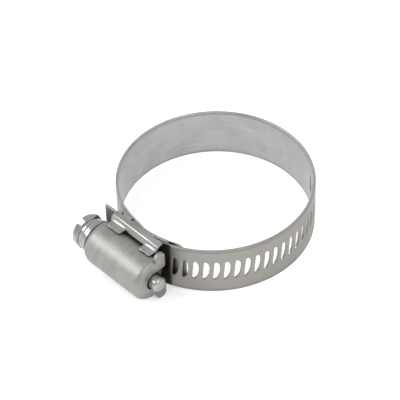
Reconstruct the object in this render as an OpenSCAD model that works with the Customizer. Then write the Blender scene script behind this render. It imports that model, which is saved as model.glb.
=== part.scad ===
// Worm-drive hose clamp, lying flat with its hose axis upright.
// The origin is the centre of the hose bore, at the middle of the band's width.
// The housing stands on the -Y side and its screw runs along X, with the head towards -X.

/* [Band] */
// Inner diameter of the fully open clamp
bore_d = 44.4; // [44:0.1:46]
// Width of the band
band_w = 12.7; // [12.2:0.1:12.8]
// Thickness of the strip
band_t = 0.6; // [0.5:0.05:0.6]
// How far the slotted end stands outside the hose circle at the housing
lift = 1.4; // [1.4:0.05:1.5]
// Width of the tongue that bridges the gap beside the housing
tongue_w = 11.5; // [10:0.1:12]

/* [Slots] */
// Distance from slot to slot along the strip, which is also the lead of the worm
slot_pitch = 2.35; // [2.34:0.005:2.36]
// Width of one slot at its middle
slot_w = 1.2; // [1.2:0.01:1.25]
// Height of one slot across the band
slot_h = 5.5; // [5.2:0.1:5.6]
// Radius of the bulging side of a slot
slot_bulge_r = 4.6; // [4.6:0.1:5.5]
// Slant of the slots, which follows the worm
slot_slant = 5.2; // [4.8:0.1:5.6]
// Angle from the middle of the housing to the nearest slot
slot_phase = 1.2; // [0:0.1:2]

/* [Worm screw] */
// Outer radius of the worm
worm_r = 4.3; // [4.25:0.05:4.35]
// Radius at the root of the worm
root_r = 3.55; // [3.4:0.05:3.6]
// Hexagon across flats, 5/16 inch
hex_af = 7.94; // [7.5:0.01:8]
// Length of the hexagon
hex_len = 2.1; // [2:0.1:2.4]
// Radius of the round collar behind the hexagon
collar_r = 4.15; // [4:0.05:4.15]
// Radius of the reduced tip
tip_r = 1.85; // [1.6:0.05:1.9]

/* [Housing] */
// Outer radius of the half-round cap
cap_r = 5.35; // [5.3:0.05:5.5]
// Head end of the cap
cap_x0 = -8.3; // [-8.4:0.1:-8.2]
// Tip end of the cap
cap_x1 = 9.6; // [9.5:0.1:9.8]

/* [Saddle] */
// Thickness of the saddle plate
saddle_t = 0.55; // [0.5:0.05:0.55]
// Head end of the saddle
saddle_x0 = -7.2; // [-7.4:0.1:-7]
// Tip end of the saddle
saddle_x1 = 7.6; // [7.4:0.1:7.8]

/* [Hidden] */
$fn = 96;
eps = 0.01;

// Hose circle and the slightly larger circle of the slotted side, touching at the back
bore_r = bore_d / 2;
slot_in_r = bore_r + lift / 2;
slot_mid_r = slot_in_r + band_t / 2;
slot_centre = [0, -lift / 2, 0];
slot_step = slot_pitch / slot_mid_r * 180 / PI;
slot_first = -3;
slot_last = 25;

// The strip bends at these angles, counted from the housing towards the tip side
right_bends = [for (k = [12, 17, 22, 27]) slot_phase + (k + 0.5) * slot_step];
left_first = -28;
left_step = 30.4;
left_bends = [for (k = [0:4]) left_first - k * left_step];
back = 180;
end_gap = 0.03;
bend_gap = 0.02;

// The slotted end runs straight from here, and its cut end is bent outwards
straight_from = -3;
straight_len = 6.6;
flare_len = 3.2;
flare = 5;
tongue_end = 30;

// Screw axis, worm and cap
worm_depth = 0.3;
axis_y = -(bore_r + lift + band_t) - worm_r + worm_depth;
worm_x0 = -7.7;
worm_x1 = 7.3;
core_x1 = 8.3;
tip_x1 = 11.9;
collar_x0 = -11.8;
collar_x1 = -8.7;
hex_x0 = collar_x0 - hex_len;
screw_slot_w = 1.5;
screw_slot_d = 1.9;
head_turn = 22;
crest_w = 0.44;
root_w = 1.1;
cap_in_r = worm_r + 0.2;
cap_wall = cap_r - cap_in_r;
cap_round = 1.4;
cap_lead = 1.4;
skirt_z = 4.2;
flange_t = 0.5;
flange_z = 6.2;
flange_y = -(bore_r + lift + band_t) - 0.05;
lobe_r = 1.5;
lobe_z = 5.3;
lobe_y = -26.1;
notch_r = tip_r + 0.35;
relief_x = 6.4;
relief_y = -26.7;

// Saddle
saddle_r = bore_r + band_t + 0.02;
web_z = band_w / 2 + 0.05;
lip_y = flange_y - flange_t - saddle_t;
lip_z = 4.7;
web_in_y = -23.45;
tab_x0 = -5.4;
tab_x1 = -3;
ear_z = 4.55;
ear_out_z = 5.75;
ear_rise = 1.5;
ears = [[-4.1, 4.6], [5.7, 3.6]];

steel = [0.72, 0.72, 0.70];
dark_steel = [0.6, 0.6, 0.59];

// Extrudes a (y, z) outline from x0 to x1
module along_x(x0, x1) {
    translate([x0, 0, 0]) rotate([90, 0, 90]) linear_extrude(x1 - x0) children();
}

// Revolves an (x, radius) outline about the screw axis
module about_screw() {
    translate([0, axis_y, 0]) rotate([90, 0, 90]) rotate_extrude() rotate(90) mirror([0, 1]) children();
}

// Part of a ring of strip from angle a0 to a1, counted from the housing towards the tip side
module arc_strip(r, a0, a1, w, t = band_t) {
    rotate([0, 0, a0 - 90]) rotate_extrude(angle = a1 - a0, $fn = 180) translate([r, -w / 2]) square([t, w]);
}

// A slot is straight on the side of the housing and bulges on the other
module slot_outline() {
    straight_x = -0.55;
    rotate(-slot_slant) intersection() {
        translate([straight_x, -slot_h / 2]) square([slot_w, slot_h]);
        translate([straight_x + slot_w - slot_bulge_r, 0]) circle(slot_bulge_r);
    }
}

// One slot cutter through a strip whose outer face points along +X
module slot_cutter() {
    rotate([90, 0, 90]) linear_extrude(3, center = true) slot_outline();
}

module slots(k0, k1) {
    translate(slot_centre) for (k = [k0:k1])
        rotate([0, 0, slot_phase + k * slot_step - 90]) translate([slot_mid_r, 0, 0]) slot_cutter();
}

// A stretch of the slotted side between two bends
module right_strip(a0, a1) {
    translate(slot_centre) arc_strip(slot_in_r, a0, a1, band_w);
}

module left_strip(a0, a1) {
    arc_strip(bore_r, a0, a1, band_w);
}

// The straight end of the strip and its bent tip, outer face towards +X
module tail_outline() {
    tip = [flare_len * sin(flare), -straight_len - flare_len * cos(flare)];
    polygon([[0, eps], [0, -straight_len], tip, tip + band_t * [cos(flare), sin(flare)],
             [band_t, -straight_len + band_t * tan(flare / 2)], [band_t, eps]]);
}

module slotted_end() {
    difference() {
        union() {
            right_strip(straight_from, right_bends[0] - bend_gap);
            translate(slot_centre) rotate([0, 0, straight_from - 90]) translate([slot_in_r, 0, -band_w / 2])
                linear_extrude(band_w) tail_outline();
        }
        slots(0, 12);
        translate(slot_centre) rotate([0, 0, straight_from - 90]) for (k = [slot_first:-1])
            translate([slot_mid_r, (slot_phase + k * slot_step - straight_from) * slot_mid_r * PI / 180, 0])
                slot_cutter();
    }
}

module band_slotted_end() { color(steel) slotted_end(); }

module band_right(n) {
    a0 = right_bends[n - 1] + bend_gap;
    a1 = n < 4 ? right_bends[n] - bend_gap : back - end_gap;
    color(steel) difference() {
        right_strip(a0, a1);
        if (n < 4) slots(8 + 5 * n, min(12 + 5 * n, slot_last));
    }
}

module band_left(n) {
    a1 = left_bends[n - 1] - bend_gap;
    a0 = n < 5 ? left_bends[n] + bend_gap : back - 360 + end_gap;
    color(steel) left_strip(a0, a1);
}

module band_fixed_end() {
    color(steel) {
        left_strip(left_bends[0] + bend_gap, 0);
        arc_strip(bore_r, -eps, tongue_end, tongue_w);
    }
}

module saddle() {
    a0 = asin(saddle_x0 / saddle_r);
    a1 = asin(saddle_x1 / saddle_r);
    tab_a0 = asin(tab_x0 / saddle_r);
    tab_a1 = asin(tab_x1 / saddle_r);
    color(steel) {
        arc_strip(saddle_r, a0, a1, band_w, saddle_t);
        for (side = [0, 1]) mirror([0, 0, side]) {
            // Side web, and the tab that joins it to the curved plate
            translate([saddle_x0, lip_y, web_z]) cube([saddle_x1 - saddle_x0, web_in_y - lip_y, saddle_t]);
            translate([tab_x0, web_in_y - 0.2, web_z])
                cube([tab_x1 - tab_x0, 0.1 - bore_r - web_in_y, saddle_t]);
            translate([0, 0, web_z - 0.3]) arc_strip(saddle_r + 0.05, tab_a0, tab_a1, 0.7, saddle_t - 0.1);
            translate([saddle_x0, lip_y, lip_z]) cube([saddle_x1 - saddle_x0, saddle_t, web_z - lip_z + eps]);
            for (ear = ears) saddle_ear(ear[0], ear[1]);
        }
    }
}

// Tab bent from the lip over the wall of the cap
module saddle_ear(x, ear_len) {
    difference() {
        translate([x - ear_len / 2, lip_y - ear_rise, ear_z])
            cube([ear_len, ear_rise + saddle_t - eps, ear_out_z - ear_z]);
        along_x(saddle_x0, saddle_x1) translate([axis_y, 0]) circle(cap_r + 0.02);
    }
}

// Solid of the cap's outside: a round bar with a rounded end, and drawn in a little over the collar
module cap_form(r, x0, x1, e, drawn = 0) {
    about_screw() {
        polygon([[x0, 0], [x0, r - drawn], [x0 + cap_lead / 3, r - drawn / 3], [x0 + cap_lead, r], [x1 - e, r],
                 [x1 - e, 0]]);
        translate([x1 - e - eps, 0]) square([e + eps, r - e]);
        translate([x1 - e, r - e]) intersection() {
            circle(e);
            square(e);
        }
    }
}

module housing() {
    color(steel) difference() {
        union() {
            intersection() {
                cap_form(cap_r, cap_x0, cap_x1, cap_round, 0.55);
                union() {
                    along_x(cap_x0, relief_x) translate([axis_y - cap_r, -cap_r])
                        square([flange_y - flange_t - axis_y + cap_r, 2 * cap_r]);
                    along_x(relief_x - eps, cap_x1) translate([axis_y - cap_r, -cap_r])
                        square([relief_y - axis_y + cap_r, 2 * cap_r]);
                }
            }
            along_x(cap_x0, relief_x) translate([axis_y, -skirt_z])
                square([flange_y - axis_y, 2 * skirt_z]);
            along_x(saddle_x0, relief_x) translate([flange_y - flange_t, -flange_z])
                square([flange_t, 2 * flange_z]);
            along_x(cap_x1 - cap_wall, cap_x1 - 0.05) {
                for (s = [-1, 1]) translate([lobe_y, s * lobe_z]) circle(lobe_r);
                translate([lobe_y - lobe_r / 2, -lobe_z]) square([lobe_r * 1.4, 2 * lobe_z]);
            }
        }
        cap_form(cap_in_r, cap_x0 - 1, cap_x1 - cap_wall, cap_round - cap_wall);
        along_x(cap_x0 - 1, cap_x1 - cap_wall) translate([axis_y, cap_wall - skirt_z])
            square([6, 2 * (skirt_z - cap_wall)]);
        along_x(0, cap_x1 + 1) {
            translate([axis_y, 0]) circle(notch_r);
            translate([axis_y, -notch_r]) square([6, 2 * notch_r]);
        }
    }
}

// Threaded stretch of the screw, from the collar to the tip: a trapezium carried along a right-hand helix
module worm() {
    per_turn = 28;
    offsets = [-root_w / 2, -crest_w / 2, crest_w / 2, root_w / 2];
    radii = [root_r, worm_r, worm_r, root_r];
    phase_x = slot_mid_r * sin(slot_phase);
    first = phase_x - ceil((phase_x - collar_x1 + root_w / 2) / slot_pitch + 1) * slot_pitch;
    last_turn = ceil((core_x1 + root_w / 2 - first) / slot_pitch);
    rows = 4 * (last_turn + 1);
    function index(m, j) = j < per_turn ? m * per_turn + j : (m + 4 < rows ? m + 4 : m) * per_turn;
    points = [for (m = [0:rows - 1], j = [0:per_turn - 1]) let (
                  x = first + (floor(m / 4) + j / per_turn) * slot_pitch + offsets[m % 4],
                  r = x < worm_x0 || x > worm_x1 ? root_r : radii[m % 4],
                  a = 360 * j / per_turn)
              [max(collar_x1, min(core_x1, x)), axis_y + r * cos(a), r * sin(a)]];
    sides = [for (m = [0:rows - 2], j = [0:per_turn - 1], half = [0, 1])
             half == 0 ? [index(m, j), index(m + 1, j), index(m + 1, j + 1)]
                       : [index(m, j), index(m + 1, j + 1), index(m, j + 1)]];
    start = [[for (j = [0:per_turn - 1]) j]];
    end = [[for (j = [per_turn - 1:-1:0]) (rows - 1) * per_turn + j]];
    polyhedron(points, concat(start, sides, end));
}

module screw_head() {
    chamfer = 0.7;
    translate([0, axis_y, 0]) rotate([head_turn, 0, 0]) translate([0, -axis_y, 0]) difference() {
        intersection() {
            translate([hex_x0, axis_y, 0]) rotate([0, 90, 0])
                cylinder(d = hex_af / cos(30), h = hex_len + eps, $fn = 6);
            about_screw() polygon([[hex_x0, 0], [hex_x0, hex_af / 2 - 0.3], [hex_x0 + chamfer, hex_af / 2 + 0.35],
                                   [collar_x0 + 0.2, hex_af / 2 + 0.6], [collar_x0 + 0.2, 0]]);
        }
        translate([hex_x0 - 1, axis_y - screw_slot_w / 2, -hex_af])
            cube([screw_slot_d + 1, screw_slot_w, 2 * hex_af]);
    }
}

module worm_screw() {
    tip_dome = 0.5;
    color(dark_steel) {
        screw_head();
        about_screw() polygon([[collar_x0, 0], [collar_x0, collar_r - 0.25], [collar_x0 + 0.25, collar_r],
                               [collar_x1 - 0.25, collar_r], [collar_x1, collar_r - 0.25], [collar_x1, 0]]);
        worm();
        about_screw() polygon([[core_x1, 0], [core_x1, tip_r], [tip_x1 - tip_dome, tip_r],
                               [tip_x1 - 0.15, tip_r - 0.35], [tip_x1, tip_r - 0.9], [tip_x1, 0]]);
    }
}

housing();
saddle();
worm_screw();
band_fixed_end();
band_slotted_end();
band_right(1);  // band_right_1
band_right(2);  // band_right_2
band_right(3);  // band_right_3
band_right(4);  // band_right_4
band_left(1);  // band_left_1
band_left(2);  // band_left_2
band_left(3);  // band_left_3
band_left(4);  // band_left_4
band_left(5);  // band_left_5
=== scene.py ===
import math
import bmesh
import bpy
from mathutils import Matrix, Vector


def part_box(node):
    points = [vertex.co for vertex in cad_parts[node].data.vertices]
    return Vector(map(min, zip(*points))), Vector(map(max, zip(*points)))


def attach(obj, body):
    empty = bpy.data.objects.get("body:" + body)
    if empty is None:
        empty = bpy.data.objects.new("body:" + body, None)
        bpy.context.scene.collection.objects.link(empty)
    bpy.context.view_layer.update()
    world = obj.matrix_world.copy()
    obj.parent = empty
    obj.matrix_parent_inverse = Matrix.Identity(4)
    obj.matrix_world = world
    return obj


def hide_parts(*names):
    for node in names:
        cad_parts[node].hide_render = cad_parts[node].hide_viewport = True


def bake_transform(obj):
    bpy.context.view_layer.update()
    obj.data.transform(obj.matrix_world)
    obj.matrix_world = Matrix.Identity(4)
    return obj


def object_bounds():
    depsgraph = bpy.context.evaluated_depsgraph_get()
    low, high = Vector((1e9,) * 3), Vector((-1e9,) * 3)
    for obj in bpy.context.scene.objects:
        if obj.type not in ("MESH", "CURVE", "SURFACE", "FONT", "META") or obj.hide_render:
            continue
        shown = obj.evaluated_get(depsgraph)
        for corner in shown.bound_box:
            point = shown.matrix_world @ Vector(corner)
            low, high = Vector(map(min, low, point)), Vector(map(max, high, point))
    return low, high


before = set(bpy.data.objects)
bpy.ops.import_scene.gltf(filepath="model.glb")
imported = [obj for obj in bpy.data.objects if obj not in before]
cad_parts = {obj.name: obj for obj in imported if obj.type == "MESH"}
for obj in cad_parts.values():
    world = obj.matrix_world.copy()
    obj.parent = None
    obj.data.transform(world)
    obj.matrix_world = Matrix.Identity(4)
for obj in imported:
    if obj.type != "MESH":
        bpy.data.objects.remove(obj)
cadLow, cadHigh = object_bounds()
mm = 0.001


# camera and studio

cameraSetup = {
    "azimuth": 47.38, "elevation": 44.10, "roll": -1.80,  # degrees
    "distance": 0.4396, "lens": 171.2,
    "aimRight": -0.0036, "aimUp": -0.00077,
}


def makeCamera(s):
    a, e = math.radians(s["azimuth"]), math.radians(s["elevation"])
    roll = math.radians(s["roll"])
    back = Vector((math.sin(a) * math.cos(e), -math.cos(a) * math.cos(e), math.sin(e)))
    level = Vector((math.cos(a), math.sin(a), 0))
    upright = back.cross(level)
    right = level * math.cos(roll) + upright * math.sin(roll)
    up = back.cross(right)
    aim = right * s["aimRight"] + up * s["aimUp"]
    data = bpy.data.cameras.new("camera")
    data.lens = s["lens"]
    data.clip_start = 0.01
    camera = bpy.data.objects.new("camera", data)
    bpy.context.scene.collection.objects.link(camera)
    turned = Matrix((right, up, back)).transposed().to_4x4()
    camera.matrix_world = Matrix.Translation(aim + back * s["distance"]) @ turned
    bpy.context.scene.camera = camera


makeCamera(cameraSetup)
print("camera placed")


# shader and geometry sockets as numbers

class Wire:
    # one socket of a node tree; sums and products of it add their own nodes
    def __init__(self, tree, socket=None):
        self.tree, self.socket = tree, socket

    def node(self, kind, settings=None, sockets=None, out=0):
        made = self.tree.nodes.new(kind)
        for name, value in (settings or {}).items():
            setattr(made, name, value)
        for key, value in (sockets or {}).items():
            if isinstance(value, Wire):
                self.tree.links.new(value.socket, made.inputs[key])
            else:
                made.inputs[key].default_value = value
        return Wire(self.tree, made.outputs[out])

    def maths(self, operation, *values):
        return self.node("ShaderNodeMath", {"operation": operation}, dict(enumerate(values)))

    def __add__(self, other):
        return self.maths("ADD", self, other)

    def __radd__(self, other):
        return self.maths("ADD", other, self)

    def __sub__(self, other):
        return self.maths("SUBTRACT", self, other)

    def __rsub__(self, other):
        return self.maths("SUBTRACT", other, self)

    def __mul__(self, other):
        return self.maths("MULTIPLY", self, other)

    def __rmul__(self, other):
        return self.maths("MULTIPLY", other, self)

    def __truediv__(self, other):
        return self.maths("DIVIDE", self, other)

    def between(self, low, high):
        # 0 below low, 1 above high
        return self.node("ShaderNodeMapRange", {"interpolation_type": "SMOOTHSTEP"},
                         {"Value": self, "From Min": low, "From Max": high})

    def parts(self):
        split = self.node("ShaderNodeSeparateXYZ", {}, {0: self}).socket.node
        return [Wire(self.tree, split.outputs[i]) for i in range(3)]

    def point(self, x, y, z):
        return self.node("ShaderNodeCombineXYZ", {}, {0: x, 1: y, 2: z})

    def noise(self, scale, detail=3, rough=0.5):
        return self.node("ShaderNodeTexNoise", {}, {"Vector": self, "Scale": scale, "Detail": detail,
                                                    "Roughness": rough}, out="Fac")

    def colours(self, first, second):
        return self.node("ShaderNodeMix", {"data_type": "RGBA"}, {0: self, 6: first, 7: second}, out=2)


# finishes

# "run" is how often the streaks change per millimetre along each axis
bandLook = {
    "dark": (0.325, 0.322, 0.316), "light": (0.465, 0.463, 0.455), "tint": (0.33, 0.33, 0.32),
    "rough": 0.36, "run": (0.07, 1.6, 1.0), "bump": 0.22, "alongStrip": True,
}
capLook = {
    "dark": (0.25, 0.245, 0.235), "light": (0.36, 0.352, 0.338), "tint": (0.16, 0.115, 0.08),
    "rough": 0.50, "run": (1.1, 0.5, 0.5), "bump": 0.3, "alongStrip": False,
}
saddleLook = {
    "dark": (0.25, 0.245, 0.24), "light": (0.40, 0.395, 0.385), "tint": (0.10, 0.07, 0.05),
    "rough": 0.28, "run": (0.25, 2.0, 2.0), "bump": 0.25, "alongStrip": False,
}
screwLook = {
    "dark": (0.25, 0.25, 0.25), "light": (0.42, 0.42, 0.41), "tint": (0.12, 0.10, 0.08),
    "rough": 0.25, "run": (2.4, 0.5, 0.5), "bump": 0.35, "alongStrip": False,
}
bumpDepth = 0.00006


def steelFinish(name, look, grimeAndShade):
    # satin stainless strip: rolled streaks, soft smudges, fine grain
    material = bpy.data.materials.new(name)
    material.use_nodes = True
    tree = material.node_tree
    surface = tree.nodes["Principled BSDF"]
    start = Wire(tree)
    if look["alongStrip"]:
        place = start.node("ShaderNodeAttribute", {"attribute_name": "strip"}, {}, out="Vector")
    else:
        inMetres = start.node("ShaderNodeTexCoord", {}, {}, out="Object")
        place = start.node("ShaderNodeVectorMath", {"operation": "SCALE"}, {0: inMetres, "Scale": 1000.0})
    x, y, z = place.parts()
    rx, ry, rz = look["run"]
    streaks = start.point(x * rx, y * ry, z * rz).noise(1.0, 5, 0.6)
    smudges = place.noise(0.22, 4, 0.55)
    clouds = start.point(x + 31.0, y - 17.0, z).noise(0.09, 2)
    grain = place.noise(9.0, 3, 0.6)
    scuffs = place.noise(2.1, 5, 0.7).between(0.56, 0.72)
    tone = streaks * 0.55 + smudges * 0.55 + (grain - 0.5) * 0.25 - scuffs * 0.12
    colour = tone.between(0.25, 0.85).colours((*look["dark"], 1), (*look["light"], 1))
    stain = clouds.between(0.50, 0.68) * 0.28
    colour = stain.colours(colour, (*look["tint"], 1))
    rough = look["rough"] + (smudges - 0.5) * 0.16 + (streaks - 0.5) * 0.14 + scuffs * 0.06
    # colour marks from the given mask function, real stains and painted shade alike
    for shade, mask in grimeAndShade(start, x, y, z):
        colour = mask.colours(colour, (*shade, 1))
        rough = rough + mask * 0.2
    height = streaks * 0.6 + grain * 0.25 + smudges * 0.8 + scuffs * 0.15
    bump = start.node("ShaderNodeBump", {}, {"Strength": look["bump"], "Distance": bumpDepth, "Height": height},
                      out="Normal")
    tree.links.new(colour.socket, surface.inputs["Base Color"])
    tree.links.new(rough.socket, surface.inputs["Roughness"])
    tree.links.new(bump.socket, surface.inputs["Normal"])
    surface.inputs["Metallic"].default_value = 1.0
    return material


# mesh helpers

weldReach = 2e-6  # metres


def meshFrom(name, points, faces):
    mesh = bpy.data.meshes.new(name)
    mesh.from_pydata([Vector(p) * mm for p in points], [], faces)
    mesh.validate()
    return mesh


def lattice(rows, closed=False):
    # quads between rows of points of equal length
    points = [p for row in rows for p in row]
    n = len(rows[0])
    faces = []
    for j in range(len(rows) - 1):
        for i in range(n if closed else n - 1):
            k = (i + 1) % n
            faces.append((j * n + i, j * n + k, (j + 1) * n + k, (j + 1) * n + i))
    return points, faces


def closedLoft(rows):
    # closed rings with a flat face at both ends
    points, faces = lattice(rows, closed=True)
    n = len(rows[0])
    faces.append(tuple(reversed(range(n))))
    faces.append(tuple((len(rows) - 1) * n + i for i in range(n)))
    return points, faces


def settle(mesh, turn=True, angle=38):
    # welds the mesh and shades it smooth up to the angle
    work = bmesh.new()
    work.from_mesh(mesh)
    bmesh.ops.remove_doubles(work, verts=work.verts, dist=weldReach)
    bmesh.ops.dissolve_degenerate(work, edges=work.edges, dist=weldReach / 2)
    if turn:
        bmesh.ops.recalc_face_normals(work, faces=work.faces)
    work.to_mesh(mesh)
    work.free()
    mesh.shade_smooth()
    mesh.set_sharp_from_angle(angle=math.radians(angle))


def piece(name, mesh, material, body, stands=(), modifiers=(), angle=38):
    # puts a mesh in the scene, bakes its modifiers and hangs it on a body
    item = bpy.data.objects.new(name, mesh)
    bpy.context.scene.collection.objects.link(item)
    for kind, values in modifiers:
        added = item.modifiers.new(kind.lower(), kind)
        for key, value in values.items():
            setattr(added, key, value)
    if modifiers:
        graph = bpy.context.evaluated_depsgraph_get()
        baked = bpy.data.meshes.new_from_object(item.evaluated_get(graph))
        item.modifiers.clear()
        item.data = baked
    item.data.name = name
    settle(item.data, angle=angle)
    item.data.materials.clear()
    item.data.materials.append(material)
    if stands:
        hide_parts(*stands)
    if body:
        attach(item, body)
    return item


def rounded(width, segments):
    # bevel on the sharp edges only
    return ("BEVEL", {"width": width * mm, "segments": segments, "limit_method": "ANGLE",
                      "angle_limit": math.radians(50)})


edgeRound = rounded(0.09, 2)


# band: a flat cell of strip, repeated along its length and bent to the hose circle

band = {
    "innerRadius": 22.2, "slottedRadius": 22.9, "slottedCentre": -0.7,
    "halfWidth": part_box("band_left_3")[1].z / mm, "thickness": 0.6,
    "pitch": 2.35, "phase": 1.2, "straightFrom": -3.0, "straightLength": 9.8,
    "slotHeight": 5.5, "slotWidth": 1.36, "slotLeft": -0.64, "slotSlant": 5.2,
    "slotTop": {"power": 3.0, "inset": 0.30, "corner": 0.45},
    "slotFoot": {"power": 1.8, "inset": 0.16, "corner": 0.30},
    "outlineSteps": 240, "cornerShare": 0.12,
    "zone": 3.2, "across": 12, "along": 8, "edgeWidth": 0.25,
    "tongueHalf": 5.75, "tongueEnd": 29.0, "tongueRound": 2.4, "neck": 1.6, "plainCell": 1.175,
    "flareSlope": 0.087, "flareEase": 0.6,
}
midRadius = band["slottedRadius"] + band["thickness"] / 2


def stripProfile(half, t, inner):
    # (across, thickness) points round the strip, outer face first
    r = band["edgeWidth"]
    edge = [(half - 0.13, t - 0.015), (half - 0.04, t - 0.07), (half, t - 0.17),
            (half, 0.17), (half - 0.04, 0.07), (half - 0.13, 0.015)]
    side = [inner[-1] + (half - r - inner[-1]) * f for f in (0.4, 0.8, 1.0)]
    face = [-v for v in reversed(side)] + inner + side
    outer = [(v, t) for v in face]
    under = [(v, 0.0) for v in reversed(face)]
    return outer + edge + under + [(-v, w) for v, w in reversed(edge)]


def zoneRows(s):
    # heights of the rows across the slotted zone
    return [-s["zone"] + 2 * s["zone"] * i / s["across"] for i in range(s["across"] + 1)]


def plainCell(s):
    # short length of strip without a slot
    length = s["plainCell"]
    ring = stripProfile(s["halfWidth"], s["thickness"], zoneRows(s))
    rows = [[(u, v, w) for v, w in ring] for u in (-length / 2, length / 2)]
    points, faces = lattice(rows, closed=True)
    return meshFrom("plainCell", points, [tuple(reversed(f)) for f in faces])


def slotOutline(s, grow):
    # straight towards the housing, bulging the other way, rounder at the top
    half, left, wide = s["slotHeight"] / 2, s["slotLeft"], s["slotWidth"]
    n = s["outlineSteps"]
    loop = []
    for i in range(n + 1):
        q = -math.cos(math.pi * i / n)
        end = s["slotTop"] if q > 0 else s["slotFoot"]
        bulge = math.sqrt(max(0.0, 1 - abs(q) ** end["power"]))
        loop.append((left + end["inset"] + (wide - end["inset"]) * bulge, q * half))
    for i in range(1, n):
        q = math.cos(math.pi * i / n)
        end = s["slotTop"] if q > 0 else s["slotFoot"]
        over = max(0.0, (abs(q) * half - (half - end["corner"])) / end["corner"])
        loop.append((left + end["inset"] * (1 - math.sqrt(1 - over * over)), q * half))
    a = -math.radians(s["slotSlant"])
    count = len(loop)
    placed = []
    for i in range(count):
        before, after = Vector(loop[i - 1]), Vector(loop[(i + 1) % count])
        out = Vector((after.y - before.y, before.x - after.x)).normalized()
        p = Vector(loop[i]) + out * grow
        placed.append((p.x * math.cos(a) - p.y * math.sin(a), p.x * math.sin(a) + p.y * math.cos(a)))
    # equal steps of arc between the four corners of the slot
    share = s["cornerShare"]
    marks = [int(count - n * share), int(n * share), int(n * (1 - share)), int(n + n * share)]
    steps = [s["along"], s["across"], s["along"], s["across"]]
    picked = []
    for c in range(4):
        i0, i1 = marks[c], marks[(c + 1) % 4]
        run = [placed[i % count] for i in range(i0, i1 + 1 if i1 > i0 else i1 + count + 1)]
        far = [0.0]
        for p, q in zip(run, run[1:]):
            far.append(far[-1] + math.dist(p, q))
        for k in range(steps[c]):
            want = far[-1] * k / steps[c]
            j = max(m for m in range(len(far)) if far[m] <= want + 1e-9)
            j = min(j, len(run) - 2)
            f = (want - far[j]) / max(1e-9, far[j + 1] - far[j])
            (x0, y0), (x1, y1) = run[j], run[j + 1]
            picked.append((x0 + (x1 - x0) * f, y0 + (y1 - y0) * f))
    return picked


def slottedCell(s):
    # one pitch of strip with its slot, the slot's rim rounded on both faces
    t, p, zone = s["thickness"], s["pitch"], s["zone"]
    ring = stripProfile(s["halfWidth"], t, zoneRows(s))
    points, faces = [], []
    columns = [-p / 2 + p * j / s["along"] for j in range(s["along"] + 1)]
    for u in columns:
        points += [(u, v, w) for v, w in ring]
    n = len(ring)
    for j in range(s["along"]):
        for i in range(n):
            k = (i + 1) % n
            flat = ring[i][1] == ring[k][1] and abs(ring[i][0] + ring[k][0]) / 2 < zone
            if not flat:
                faces.append((j * n + i, (j + 1) * n + i, (j + 1) * n + k, j * n + k))
    frameLoop = [(u, -zone) for u in columns[:-1]] + [(p / 2, v) for v in zoneRows(s)[:-1]]
    frameLoop += [(u, zone) for u in reversed(columns[1:])] + [(-p / 2, v) for v in reversed(zoneRows(s)[1:])]
    rim = slotOutline(s, 0.0)
    wide = slotOutline(s, 0.09)
    lip = slotOutline(s, 0.03)
    far = slotOutline(s, 0.20)
    middle = [((a[0] + b[0]) / 2, (a[1] + b[1]) / 2) for a, b in zip(frameLoop, far)]
    loops = [(frameLoop, t), (middle, t), (far, t), (wide, t - 0.012), (lip, t - 0.05), (rim, t - 0.13),
             (rim, 0.08), (lip, 0.02), (wide, 0.0), (middle, 0.0), (frameLoop, 0.0)]
    base = len(points)
    m = len(frameLoop)
    for loop, w in loops:
        points += [(u, v, w) for u, v in loop]
    for j in range(len(loops) - 1):
        for i in range(m):
            k = (i + 1) % m
            faces.append((base + j * m + i, base + j * m + k, base + (j + 1) * m + k, base + (j + 1) * m + i))
    mesh = meshFrom("slottedCell", points, faces)
    settle(mesh, turn=False)
    return mesh


def treeInput(tree, name, kind, value=None):
    item = tree.interface.new_socket(name=name, in_out="INPUT", socket_type=kind)
    if value is not None:
        item.default_value = value
    return item


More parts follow.
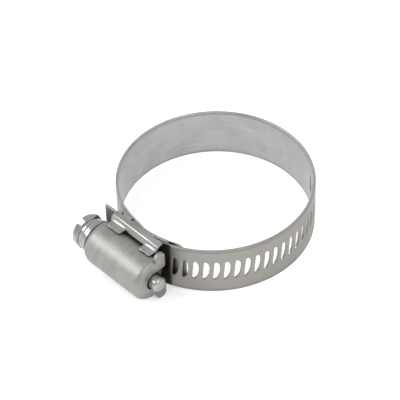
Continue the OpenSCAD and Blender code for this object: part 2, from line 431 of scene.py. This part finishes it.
def stripTree():
    # repeats a cell along a line and bends the line to an arc with a straight tail
    tree = bpy.data.node_groups.new("stripOfCells", "GeometryNodeTree")
    treeInput(tree, "Cell", "NodeSocketObject")
    treeInput(tree, "Cells", "NodeSocketInt", 10)
    treeInput(tree, "Pitch", "NodeSocketFloat", 0.00235)
    treeInput(tree, "Cell Length", "NodeSocketFloat", 0.00235)
    treeInput(tree, "First", "NodeSocketFloat", 0.0)
    treeInput(tree, "Inner Radius", "NodeSocketFloat", 0.0229)
    treeInput(tree, "Neutral Radius", "NodeSocketFloat", 0.0232)
    treeInput(tree, "Centre Y", "NodeSocketFloat", 0.0)
    treeInput(tree, "Straight From", "NodeSocketFloat", -10.0)
    treeInput(tree, "Finish", "NodeSocketMaterial")
    tree.interface.new_socket(name="Geometry", in_out="OUTPUT", socket_type="NodeSocketGeometry")
    start = Wire(tree)
    given = start.node("NodeGroupInput").socket.node
    value = {o.name: Wire(tree, o) for o in given.outputs if o.name}
    line = start.node("GeometryNodeMeshLine", {"mode": "OFFSET"},
                      {"Count": value["Cells"], "Start Location": start.point(value["First"], 0.0, 0.0),
                       "Offset": start.point(value["Pitch"], 0.0, 0.0)})
    cell = start.node("GeometryNodeObjectInfo", {}, {"Object": value["Cell"]}, out="Geometry")
    spread = start.node("GeometryNodeInstanceOnPoints", {},
                        {"Points": line, "Instance": cell,
                         "Scale": start.point(value["Pitch"] / value["Cell Length"], 1.0, 1.0)})
    solid = start.node("GeometryNodeRealizeInstances", {}, {"Geometry": spread})
    joined = start.node("GeometryNodeMergeByDistance", {}, {"Geometry": solid, "Distance": weldReach})
    here = start.node("GeometryNodeInputPosition")
    inMm = start.node("ShaderNodeVectorMath", {"operation": "SCALE"}, {0: here, "Scale": 1000.0})
    marked = start.node("GeometryNodeStoreNamedAttribute", {"data_type": "FLOAT_VECTOR", "domain": "POINT"},
                        {"Geometry": joined, "Name": "strip", "Value": inMm})
    along, across, out = here.parts()
    angle = along / value["Neutral Radius"]
    angle = angle.maths("MAXIMUM", angle, value["Straight From"])
    tail = along - value["Straight From"] * value["Neutral Radius"]
    tail = tail.maths("MINIMUM", tail, 0.0)
    sine, cosine = angle.maths("SINE", angle), angle.maths("COSINE", angle)
    radius = value["Inner Radius"] + out
    bent = start.point(radius * sine + tail * cosine, value["Centre Y"] - radius * cosine + tail * sine, across)
    shaped = start.node("GeometryNodeSetPosition", {}, {"Geometry": marked, "Position": bent})
    done = start.node("GeometryNodeRealizeInstances", {}, {"Geometry": shaped})
    done = start.node("GeometryNodeSetMaterial", {}, {"Geometry": done, "Material": value["Finish"]})
    end = tree.nodes.new("NodeGroupOutput")
    tree.links.new(done.socket, end.inputs[0])
    return tree


def grown(tree, settings):
    # runs a tree on an empty host and returns what it makes as a plain mesh
    host = bpy.data.objects.new("host", bpy.data.meshes.new("host"))
    bpy.context.scene.collection.objects.link(host)
    added = host.modifiers.new("grow", "NODES")
    added.node_group = tree
    for item in tree.interface.items_tree:
        if item.in_out == "INPUT" and item.name in settings:
            added[item.identifier] = settings[item.name]
    graph = bpy.context.evaluated_depsgraph_get()
    mesh = bpy.data.meshes.new_from_object(host.evaluated_get(graph))
    bpy.data.objects.remove(host)
    return mesh


def cellObject(mesh):
    item = bpy.data.objects.new(mesh.name, mesh)
    bpy.context.scene.collection.objects.link(item)
    return item


def bandGrimeAndShade(start, along, across, out):
    # the outer face painted darker and warmer as painted shade, a duller line beside each edge, and painted shadow
    # with dark reflection where the worm grips the strip by the housing's end
    outside = out.between(0.2, 0.5)
    # painted shade: the outer face is made darker and warmer than the inner face
    shadedOutside = outside * 0.75
    blotches = start.point(along * 0.35, across * 0.7, out).noise(0.6, 3).between(0.5, 0.75) * outside * 0.35
    height = across.maths("ABSOLUTE", across)
    edge = height.between(5.3, 5.9) * (1 - height.between(6.1, 6.25)) * 0.4
    # painted shadow and dark reflection of the housing on the strip beside the housing's end
    shadowByHousing = along.between(2.0, 5.0) * (1 - along.between(8.5, 9.5)) * outside * 0.93
    return [((0.285, 0.272, 0.25), shadedOutside), ((0.29, 0.258, 0.225), blotches), ((0.2, 0.19, 0.175), edge),
            ((0.02, 0.015, 0.012), shadowByHousing)]


bandSteel = steelFinish("bandSteel", bandLook, bandGrimeAndShade)
slotted, plain = cellObject(slottedCell(band)), cellObject(plainCell(band))
strips = stripTree()


def slotRun(first, last):
    # cells first to last of the slotted end
    pitch = band["pitch"]
    return {"Cell": slotted, "Cells": last - first + 1, "Pitch": pitch * mm, "Cell Length": pitch * mm,
            "First": (math.radians(band["phase"]) * midRadius + first * pitch) * mm}


def plainRun(a0, a1):
    # plain strip between two arc positions in mm
    cells = max(1, round((a1 - a0) / band["plainCell"]))
    pitch = (a1 - a0) / cells
    return {"Cell": plain, "Cells": cells, "Pitch": pitch * mm, "Cell Length": band["plainCell"] * mm,
            "First": (a0 + pitch / 2) * mm}


def stripMesh(name, runs, radius, centre):
    # one stretch of strip; only the slotted side, whose circle is off centre, runs out straight
    parts = []
    straightFrom = math.radians(band["straightFrom"]) if centre else -10.0
    for run in runs:
        run.update({"Inner Radius": radius * mm, "Neutral Radius": (radius + band["thickness"] / 2) * mm,
                    "Centre Y": centre * mm, "Straight From": straightFrom, "Finish": bandSteel})
        parts.append(grown(strips, run))
    work = bmesh.new()
    for part in parts:
        work.from_mesh(part)
    bmesh.ops.remove_doubles(work, verts=work.verts, dist=1.5 * weldReach)
    rims = [e for e in work.edges if e.is_boundary]
    bmesh.ops.holes_fill(work, edges=rims, sides=0)
    mesh = bpy.data.meshes.new(name)
    work.to_mesh(mesh)
    work.free()
    return mesh


def bandPiece(name, mesh, stands, bodies):
    # a stretch of band, hung on its body when it has one, and left unhung with its transform baked when it has two
    if len(bodies) == 1:
        return piece(name, mesh, bandSteel, bodies[0], (stands,))
    item = piece(name, mesh, bandSteel, None, (stands,))
    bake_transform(item)
    return item


phaseArc = math.radians(band["phase"]) * midRadius
tailArc = math.radians(band["straightFrom"]) * midRadius - band["straightLength"]
firstEdge = phaseArc - 3.5 * band["pitch"]
lastEdge = phaseArc + 25.5 * band["pitch"]
backArc = math.pi * midRadius
radius, centre = band["slottedRadius"], band["slottedCentre"]
tail = stripMesh("slottedEnd", [plainRun(tailArc, firstEdge), slotRun(-3, 9)], radius, centre)
for corner, mark in zip(tail.vertices, tail.attributes["strip"].data):
    past = max(0.0, firstEdge - 0.1 - mark.vector[0])  # the cut end turns outwards a little
    corner.co.y -= band["flareSlope"] * past * past / (past + band["flareEase"]) * mm
bandPiece("slottedEnd", tail, "band_slotted_end", ["slotted_end"])
# name, first cell, last cell, where the bend is complete, node, bodies
slottedBends = (("slottedBend1", 10, 15, 15.5, "band_right_1", ("slotted_end", "right_1")),
                ("slottedBend2", 16, 20, 19.5, "band_right_2", ("right_1", "right_2")),
                ("slottedBend3", 21, 25, 24.5, "band_right_3", ("right_2", "right_3")))
for name, k0, k1, bent, stands, bodies in slottedBends:
    bandPiece(name, stripMesh(name, [slotRun(k0, k1)], radius, centre), stands, bodies)
bandPiece("slottedBend4", stripMesh("slottedBend4", [plainRun(lastEdge, backArc)], radius, centre),
          "band_right_4", ("right_3", "right_4"))

leftMid = band["innerRadius"] + band["thickness"] / 2
leftEdges = [-16.0, -43.2, -73.6, -104.0, -134.4, -180.0]
leftBodies = ["root", "left_1", "left_2", "left_3", "left_4", "left_5"]
for i in range(5):
    run = plainRun(math.radians(leftEdges[i + 1]) * leftMid, math.radians(leftEdges[i]) * leftMid)
    name = f"plainBend{i + 1}"
    bandPiece(name, stripMesh(name, [run], band["innerRadius"], 0.0), f"band_left_{i + 1}",
              (leftBodies[i], leftBodies[i + 1]))
for item in (slotted, plain):
    bpy.data.objects.remove(item)
print("band made")


def fixedEnd(s):
    # plain strip under the saddle that narrows to a round-ended tongue
    r, t = s["innerRadius"], s["thickness"]
    mid = r + t / 2
    endArc = math.radians(s["tongueEnd"]) * mid
    neck, rounding = s["neck"], s["tongueRound"]
    stations = [math.radians(leftEdges[0]) * mid + 0.55 * i for i in range(8)]
    stations += [-1.6, -1.3, -1.0, -0.7, -0.4, 0.0] + [0.9 * i for i in range(1, 11)]
    stations += [endArc - rounding * (1 - f) for f in (0, 0.3, 0.55, 0.75, 0.88, 0.95, 0.985, 1.0)]
    rows = []
    for a in sorted(stations):
        f = min(1, max(0, (a + neck) / neck))
        half = s["halfWidth"] - (s["halfWidth"] - s["tongueHalf"]) * f * f * (3 - 2 * f)
        g = min(1, max(0, (a - endArc + rounding) / rounding))
        half -= rounding * (1 - math.sqrt(1 - g * g))
        ring = stripProfile(half, t, [half * k / 3.2 for k in (-2, -1, 0, 1, 2)])
        angle = a / mid
        rows.append([((r + w) * math.sin(angle), -(r + w) * math.cos(angle), v, a) for v, w in ring])
    points, faces = closedLoft([[p[:3] for p in row] for row in rows])
    mesh = meshFrom("fixedEnd", points, faces)
    marks = mesh.attributes.new("strip", "FLOAT_VECTOR", "POINT")
    for mark, (x, y, v, a) in zip(marks.data, (p for row in rows for p in row)):
        mark.vector = (a, v, math.hypot(x, y) - r)
    return mesh


bandPiece("fixedEnd", fixedEnd(band), "band_fixed_end", ["root"])
print("fixed end made")


# screw: hexagon head with a blade slot, collar, worm and tip

screwLow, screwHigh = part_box("worm_screw")
screw = {
    "axisY": screwLow.y / mm / 2 + screwHigh.y / mm / 2, "front": screwLow.x / mm, "collar": -11.8,
    "acrossFlats": 7.94, "cornerRadius": 4.50, "cornerSoft": 0.16, "turn": 22.0, "segments": 96,
    "slotHalf": 0.75, "slotTurn": 112.0, "slotDepth": 1.9,
    "rootRadius": 3.5, "wormRadius": 4.28, "wormFrom": -7.7, "wormTo": 7.3,
    "crestWidth": 0.44, "rootWidth": 1.1, "threadSteps": 280,
    # (x, radius) from the back of the head to the tip
    "shank": [(-11.85, 3.8), (-11.72, 3.84), (-11.5, 3.88), (-11.2, 3.9), (-10.9, 3.92), (-10.75, 3.95),
              (-10.65, 4.02), (-10.5, 4.11), (-10.3, 4.15), (-9.1, 4.15), (-8.9, 4.1), (-8.76, 3.98),
              (-8.7, 3.8), (-8.7, 3.6), (-8.6, 3.5), (8.1, 3.5), (8.3, 3.3), (8.3, 1.9), (8.45, 1.85),
              (10.9, 1.85), (11.2, 1.8), (11.45, 1.67), (11.65, 1.45), (11.79, 1.12), (11.87, 0.7), (11.9, 0.2)],
}


def ringAt(x, radiusOf, s):
    # one ring of points round the screw's axis
    n = s["segments"]
    ring = []
    for i in range(n):
        a = 2 * math.pi * i / n
        r = radiusOf(a)
        ring.append((x, s["axisY"] + r * math.cos(a), r * math.sin(a)))
    return ring


def softMin(a, b, k):
    # the smaller of two, blended over k where they meet
    h = max(0.0, min(1.0, 0.5 + 0.5 * (b - a) / k))
    return b * (1 - h) + a * h - k * h * (1 - h)


def turnedMesh(name, profile, s):
    rows = [ringAt(x, lambda a, r=r: r, s) for x, r in profile]
    points, faces = closedLoft(rows)
    return meshFrom(name, points, faces)


def headMesh(s):
    # hexagon with chamfered ends
    flat = s["acrossFlats"] / 2
    x0, x1 = s["front"], s["collar"] + 0.1
    length = x1 - x0

    def hexRadius(a):
        d = (math.degrees(a) - s["turn"] + 30) % 60 - 30
        return softMin(flat / math.cos(math.radians(d)), s["cornerRadius"], s["cornerSoft"])

    stations = [(0.0, 2.9), (0.0, 3.3), (0.04, 3.52), (0.13, 3.68), (0.3, 3.84), (0.55, 4.0), (0.9, 4.18),
                (1.25, 4.35), (length - 0.5, 4.44), (length - 0.3, 4.34), (length - 0.12, 4.17), (length, 3.97)]
    rows = [ringAt(x0 + dx, lambda a, c=c: softMin(hexRadius(a), c, 0.12), s) for dx, c in stations]
    points, faces = closedLoft(rows)
    return meshFrom("screwHead", points, faces)


def slotCutter(s):
    # bar that cuts the blade slot, wider at the mouth
    x0, y0 = s["front"], s["axisY"]
    outline = [(x0 - 1, 1.35), (x0 + 0.2, s["slotHalf"]), (x0 + s["slotDepth"] - 0.2, s["slotHalf"]),
               (x0 + s["slotDepth"], s["slotHalf"] - 0.2)]
    outline += [(x, -z) for x, z in reversed(outline)]
    a = math.radians(s["slotTurn"])
    rows = [[(x, y0 + d * math.cos(a) - z * math.sin(a), d * math.sin(a) + z * math.cos(a)) for x, z in outline]
            for d in (-6, 6)]
    points, faces = closedLoft(rows)
    mesh = meshFrom("cutter", points, faces)
    settle(mesh)
    return mesh


def wormTree():
    # a trapezium thread carried along a helix, with its ends run out to nothing
    tree = bpy.data.node_groups.new("wormThread", "GeometryNodeTree")
    for name, kind, value in (("Turns", "NodeSocketFloat", 6.0), ("Pitch", "NodeSocketFloat", 0.00235),
                              ("From", "NodeSocketFloat", 0.0), ("Root Radius", "NodeSocketFloat", 0.0035),
                              ("Crest Radius", "NodeSocketFloat", 0.0044),
                              ("Crest Width", "NodeSocketFloat", 0.0004),
                              ("Root Width", "NodeSocketFloat", 0.0012), ("Axis Y", "NodeSocketFloat", 0.0),
                              ("Steps", "NodeSocketInt", 240), ("Finish", "NodeSocketMaterial", None)):
        treeInput(tree, name, kind, value)
    tree.interface.new_socket(name="Geometry", in_out="OUTPUT", socket_type="NodeSocketGeometry")
    start = Wire(tree)
    given = start.node("NodeGroupInput").socket.node
    value = {o.name: Wire(tree, o) for o in given.outputs if o.name}
    grid = start.node("GeometryNodeMeshGrid", {}, {"Size X": 1.0, "Size Y": 1.0, "Vertices X": value["Steps"],
                                                   "Vertices Y": 9})
    here = start.node("GeometryNodeInputPosition")
    u, v, _ = here.parts()
    u, v = u + 0.5, (v + 0.5) * 8.0
    fade = u.between(0.0, 0.035) * (1 - u.between(0.965, 1.0))
    turn = u * value["Turns"]
    angle = turn * (2 * math.pi)
    # round the trapezium: side, rounded crest, side, and back along the bottom
    up = v.between(0.0, 2.0) * (1 - v.between(5.0, 7.0))
    sideways = (v - 3.5) / 3.5
    sideways = sideways.maths("MINIMUM", sideways, 1.0)
    closing = v.between(7.0, 8.0)
    sideways = sideways * (1 - closing) - closing
    halfWide = value["Root Width"] * 0.5 * (1 - up) + value["Crest Width"] * 0.5 * up * 1.6
    sink = 0.0001  # metres that the foot of the thread reaches into the core
    radius = value["Root Radius"] - sink + up * fade * (value["Crest Radius"] - value["Root Radius"] + sink)
    x = value["From"] + turn * value["Pitch"] + sideways * halfWide * fade
    y, z = value["Axis Y"] + radius * angle.maths("COSINE", angle), radius * angle.maths("SINE", angle)
    moved = start.point(x, y, z)
    shaped = start.node("GeometryNodeSetPosition", {}, {"Geometry": grid, "Position": moved})
    joined = start.node("GeometryNodeMergeByDistance", {}, {"Geometry": shaped, "Distance": weldReach})
    done = start.node("GeometryNodeRealizeInstances", {}, {"Geometry": joined})
    done = start.node("GeometryNodeSetMaterial", {}, {"Geometry": done, "Material": value["Finish"]})
    end = tree.nodes.new("NodeGroupOutput")
    tree.links.new(done.socket, end.inputs[0])
    return tree


def screwShading(start, x, y, z):
    # painted shade: a little dark in the crease where the head meets the neck, and near black from the collar's
    # back along the worm, where the shank lies inside the housing
    # painted shade in the crease between head and neck
    creaseShade = x.between(-12.05, -11.85) * (1 - x.between(-11.75, -11.55)) * 0.12
    # painted shade: near black from the gap at the cap's rim along the worm inside the housing
    shank = x.between(-9.35, -9.05) * (1 - x.between(8.4, 8.9)) * 0.85
    return [((0.10, 0.08, 0.065), creaseShade), ((0.03, 0.024, 0.018), shank)]


screwSteel = steelFinish("screwSteel", screwLook, screwShading)
cutter = cellObject(slotCutter(screw))
piece("screwHead", headMesh(screw), screwSteel, "screw",
      modifiers=[("BOOLEAN", {"object": cutter, "operation": "DIFFERENCE", "solver": "EXACT"})], angle=30)
bpy.data.objects.remove(cutter)
piece("screwShank", turnedMesh("screwShank", screw["shank"], screw), screwSteel, "screw",
      ("worm_screw",), angle=35)
phaseX = midRadius * math.sin(math.radians(band["phase"]))
turnsBefore = math.floor((phaseX - screw["wormFrom"]) / band["pitch"])
wormStart = phaseX - turnsBefore * band["pitch"]
wormTurns = (screw["wormTo"] - wormStart) / band["pitch"]
thread = grown(wormTree(), {"Turns": wormTurns, "Pitch": band["pitch"] * mm, "From": wormStart * mm,
                            "Root Radius": screw["rootRadius"] * mm, "Crest Radius": screw["wormRadius"] * mm,
                            "Crest Width": screw["crestWidth"] * mm, "Root Width": screw["rootWidth"] * mm,
                            "Axis Y": screw["axisY"] * mm, "Steps": screw["threadSteps"], "Finish": screwSteel})
piece("wormThread", thread, screwSteel, "screw")
print("screw made")


# housing: half-round cap with a domed end, an end wall with lobes, and feet under the lips

capLow, capHigh = (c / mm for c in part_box("housing"))
housing = {
    "open": capLow.x, "end": capHigh.x, "radius": 5.35, "wall": 0.85, "dome": 1.35, "notch": 2.2,
    "footAngle": 129.5, "reliefAngle": 106.0, "reliefFrom": 6.0, "reliefTo": 6.9, "across": 72,
    # (distance from the open end, how far the sheet is drawn in)
    "lead": [(0, 0.5), (0.1, 0.4), (0.25, 0.29), (0.45, 0.19), (0.7, 0.11), (1.0, 0.05), (1.4, 0.01)],
    "lobeY": -26.1, "lobeZ": 5.3, "lobeRadius": 1.5, "lobeFrom": 8.72, "lobeTo": 9.55,
    # (y, z) outline of a foot
    "foot": [(-24.25, 3.5), (-24.25, 6.15), (-24.35, 6.2), (-24.65, 6.2), (-24.75, 6.1), (-24.75, 4.5),
             (-25.0, 4.2), (-25.0, 3.5)],
    "footFrom": -7.2, "footTo": 6.4,
}


def capMesh(s):
    # outer face of the cap, from its open end over the dome to the notch for the tip
    y0 = screw["axisY"]
    path = [(s["open"] + d, s["radius"] - r) for d, r in s["lead"]]
    path += [(s["open"] + d, s["radius"]) for d in (2, 3, 4.5, 6, 7.5, 9, 10.5, 12, 13.5)]
    path += [(x, s["radius"]) for x in (5.6, 5.9, 6.1, 6.3, 6.5, 6.7, 6.9, 7.1, 7.6)]
    for k in range(9):
        a = math.radians(90 * k / 8)
        path.append((s["end"] - s["dome"] * (1 - math.sin(a)), s["radius"] - s["dome"] * (1 - math.cos(a))))
    path += [(s["end"], r) for r in (3.6, 3.1, 2.6, 2.3, s["notch"])]
    rows = []
    for x, r in path:
        f = min(1, max(0, (x - s["reliefFrom"]) / (s["reliefTo"] - s["reliefFrom"])))
        reach = s["footAngle"] + (s["reliefAngle"] - s["footAngle"]) * f * f * (3 - 2 * f)
        row = []
        for i in range(s["across"] + 1):
            a = math.radians(reach * (2 * i / s["across"] - 1))
            row.append((x, y0 - r * math.cos(a), r * math.sin(a)))
        rows.append(row)
    points, faces = lattice(rows)
    return meshFrom("housingCap", points, [tuple(reversed(f)) for f in faces])


def mirrored(outline, sign):
    # sign -1 gives the lower side
    return [(y, z * sign) for y, z in outline]


def sheetShape(name, outline, x0, x1):
    # flat plate with a (y, z) outline between two x positions
    rows = [[(x, y, z) for y, z in outline] for x in (x0, x1)]
    points, faces = closedLoft(rows)
    return meshFrom(name, points, faces)


def endBar(s, sign):
    # (y, z) outline of the end wall beside the tip, with its round lobe
    y0, z0, r = s["lobeY"], s["lobeZ"], s["lobeRadius"]
    n = s["notch"]
    outline = [(-24.75, 4.6)]
    for k in range(19):
        a = math.radians(62 - 215 * k / 18)
        outline.append((y0 + r * math.sin(a), z0 + r * math.cos(a)))
    outline += [(-27.9, 4.1), (-28.15, n + 0.35), (-28.0, n + 0.06), (-27.0, n + 0.02), (-25.1, n + 0.02),
                (-24.8, n + 0.3)]
    return mirrored(outline, sign)


def capGrimeAndShade(start, x, y, z):
    # brown film along the lips, painted shade making the lower side duller, and near black painted shade inside
    # the cap and under the lips
    patches = start.point(x, y, z).noise(0.8, 4, 0.6)
    film = y.between(-26.5, -25.7) * (0.15 + patches * 0.6) * (1 - x.between(7.6, 8.4))
    off = y - screw["axisY"]
    fromAxis = off.maths("SQRT", off * off + z * z)
    # painted shade: near black inside the cap round the screw
    shadeInside = (1 - fromAxis.between(4.55, 4.8)) * (1 - x.between(8.9, 9.2)) * 0.9
    # painted shadow: near black along the cap's edges and feet under the saddle's lips
    shadowUnderLips = y.between(-25.6, -25.1) * (1 - x.between(8.6, 9.0)) * 0.8
    # painted shade: the cap's lower side made duller
    below = (1 - z.between(-4.5, -0.5)) * 0.45
    return [((0.19, 0.185, 0.175), below), ((0.15, 0.10, 0.065), film), ((0.02, 0.015, 0.012), shadeInside),
            ((0.035, 0.024, 0.016), shadowUnderLips)]


capSteel = steelFinish("capSteel", capLook, capGrimeAndShade)
sides = (("Upper", 1), ("Lower", -1))
sheetWall = ("SOLIDIFY", {"thickness": housing["wall"] * mm, "offset": -1.0, "use_even_offset": True})
piece("housingCap", capMesh(housing), capSteel, "root", ("housing",),
      modifiers=[sheetWall, edgeRound])
for side, sign in sides:
    lobe = sheetShape("lobe", endBar(housing, sign), housing["lobeFrom"], housing["lobeTo"])
    piece(f"endLobe{side}", lobe, capSteel, "root", modifiers=[rounded(0.22, 3)])
    foot = sheetShape("foot", mirrored(housing["foot"], sign), housing["footFrom"], housing["footTo"])
    piece(f"housingFoot{side}", foot, capSteel, "root", modifiers=[edgeRound])
print("housing made")


# saddle: curved plate between the two ends of the band, folded over the feet of the housing

saddle = {
    "radius": 22.82, "thickness": 0.55, "half": 6.35, "from": -7.2, "to": 7.6,
    "webTop": 6.95, "webY": -23.45,
    "ears": ((-4.5, 4.4), (5.7, 3.6)),  # middle and length along the screw
    # (y, z) outer line of an ear, down the side of the cap
    "earPath": [(-25.2, 6.45), (-25.5, 6.05), (-25.8, 5.84), (-26.2, 5.76), (-26.65, 5.77), (-27.05, 5.79),
                (-27.35, 5.77), (-27.55, 5.68)],
    "earThickness": 0.52,
    # (x, y) outline and the two heights of a tab
    "tab": [(-5.4, -23.65), (-3.0, -23.65), (-3.0, -22.3), (-5.4, -22.3)], "tabHeights": (6.37, 6.93),
}


def platePoints(s):
    # flat strip profile carried along the plate's arc
    rows = []
    a0, a1 = math.asin(s["from"] / s["radius"]), math.asin(s["to"] / s["radius"])
    for i in range(21):
        a = a0 + (a1 - a0) * i / 20
        ring = stripProfile(s["half"], s["thickness"], [-3.0, 0.0, 3.0])
        rows.append([((s["radius"] + w) * math.sin(a), -(s["radius"] + w) * math.cos(a), v) for v, w in ring])
    return closedLoft(rows)


def foldOutline(s, sign):
    # lip, rounded fold and web as one strip of sheet, seen along the screw
    top, t = s["webTop"], s["thickness"]
    outer = [(s["webY"], top - 0.1), (s["webY"] - 0.1, top), (-24.4, top), (-24.7, top - 0.01),
             (-24.9, top - 0.06), (-25.05, top - 0.16), (-25.16, top - 0.3), (-25.5, top - 0.9),
             (-25.82, top - 1.45)]
    inner = [(-25.42, 5.25), (-25.1, 5.8), (-24.82, 6.2), (-24.72, 6.33), (-24.55, top - t),
             (s["webY"] - 0.1, top - t), (s["webY"], top - t + 0.1)]
    return mirrored(outer + inner, sign)


def earMesh(s, middle, length, sign):
    # a finger of the lip pressed down over the side of the cap
    path = s["earPath"]
    half = length / 2
    rows = []
    for i, (y, z) in enumerate(path):  # the free end closes over the last two points
        before, after = path[max(0, i - 1)], path[min(len(path) - 1, i + 1)]
        along = Vector((after[0] - before[0], after[1] - before[1])).normalized()
        inward = Vector((along.y, -along.x))
        if inward.y > 0:
            inward = -inward
        closing = max(0.0, (i - 5) / 2)
        h, t = half - 0.35 * closing ** 2, s["earThickness"] - 0.22 * closing
        section = [(-h, 0.16), (-h + 0.05, 0.06), (-h + 0.22, 0.0), (0, -0.02), (h - 0.22, 0.0),
                   (h - 0.05, 0.06), (h, 0.16), (h, t - 0.12), (h - 0.1, t), (0, t), (-h + 0.1, t), (-h, t - 0.12)]
        rows.append([(middle + u, y + inward.x * w, (z + inward.y * w) * sign) for u, w in section])
    points, faces = closedLoft(rows)
    return meshFrom("ear", points, faces)


def saddleGrimeAndShade(start, x, y, z):
    # brown film on the inner edges of the lips, and black painted shade on the plate between the strips, where it
    # lies under the band
    height = z.maths("ABSOLUTE", z)
    edge = (1 - height.between(5.2, 5.5)) * 0.7
    # painted shade: black on the plate between the strips, under the band
    under = (1 - height.between(5.6, 6.2)) * y.between(-24.9, -24.6) * 0.8
    return [((0.12, 0.08, 0.055), edge), ((0.03, 0.024, 0.018), under)]


saddleSteel = steelFinish("saddleSteel", saddleLook, saddleGrimeAndShade)
piece("saddlePlate", meshFrom("plate", *platePoints(saddle)), saddleSteel, "root", ("saddle",))
for side, sign in sides:
    fold = sheetShape("fold", foldOutline(saddle, sign), saddle["from"], saddle["to"])
    piece(f"saddleFold{side}", fold, saddleSteel, "root", modifiers=[edgeRound], angle=30)
    for n, (x, length) in enumerate(saddle["ears"]):
        piece(f"saddleEar{side}{n + 1}", earMesh(saddle, x, length, sign), saddleSteel, "root")
    rows = [[(x, y, z * sign) for x, y in saddle["tab"]] for z in saddle["tabHeights"]]
    piece(f"saddleTab{side}", meshFrom("tab", *closedLoft(rows)), saddleSteel, "root",
          modifiers=[("BEVEL", {"width": 0.25 * mm, "segments": 3})])
print("saddle made")


# floor and light

floorShape = {"below": 0.00002, "sides": 64,
              "profile": ((2.4, 0.0), (2.6, 0.01), (2.8, 0.05), (2.95, 0.13), (3.0, 0.25), (3.0, 0.4))}


def makeFloor(s):
    # round sheet whose far edge curves up, so no horizon shows from low down
    low = cadLow.z - s["below"]
    turns = [2 * math.pi * i / s["sides"] for i in range(s["sides"])]
    rows = [[(r * math.cos(a), r * math.sin(a), low + h) for a in turns] for r, h in s["profile"]]
    points, faces = lattice(rows, closed=True)
    mesh = bpy.data.meshes.new("floor")
    faces = [tuple(range(s["sides"]))] + [tuple(reversed(f)) for f in faces]
    mesh.from_pydata(points, [], faces)
    mesh.shade_smooth()
    floor = bpy.data.objects.new("floor", mesh)
    bpy.context.scene.collection.objects.link(floor)
    paint = bpy.data.materials.new("paleFloor")
    paint.use_nodes = True
    surface = paint.node_tree.nodes["Principled BSDF"]
    surface.inputs["Base Color"].default_value = (0.9, 0.9, 0.9, 1)
    surface.inputs["Roughness"].default_value = 0.9
    surface.inputs["Specular IOR Level"].default_value = 0.0
    surface.inputs["Emission Color"].default_value = (1, 1, 1, 1)
    surface.inputs["Emission Strength"].default_value = 0.3
    mesh.materials.append(paint)


lamps = [
    {"name": "softKey", "from": (-0.36, -0.42, 0.42), "size": (0.55, 0.30), "watts": 2.2},
    {"name": "softFill", "from": (0.50, -0.10, 0.50), "size": (0.40, 0.30), "watts": 1.2},
]


def makeLamp(s):
    data = bpy.data.lights.new(s["name"], "AREA")
    data.shape = "RECTANGLE"
    data.size, data.size_y = s["size"]
    data.energy = s["watts"]
    lamp = bpy.data.objects.new(s["name"], data)
    lamp.location = s["from"]
    lamp.rotation_euler = (-Vector(s["from"])).to_track_quat("-Z", "Y").to_euler()
    bpy.context.scene.collection.objects.link(lamp)


bpy.context.scene.view_settings.view_transform = "Standard"
makeFloor(floorShape)
for lampSetup in lamps:
    makeLamp(lampSetup)
print("floor and lamps placed")

# sky a little brighter overhead than at the horizon
world = bpy.data.worlds.new("studio")
bpy.context.scene.world = world
world.use_nodes = True
worldStart = Wire(world.node_tree)
direction = worldStart.node("ShaderNodeTexCoord", {}, {}, out="Generated")
sky = direction.parts()[2].between(-0.1, 0.9).colours((0.62, 0.63, 0.65, 1), (1.0, 1.0, 1.0, 1))
backdrop = world.node_tree.nodes["Background"]
world.node_tree.links.new(sky.socket, backdrop.inputs["Color"])
backdrop.inputs["Strength"].default_value = 1.0
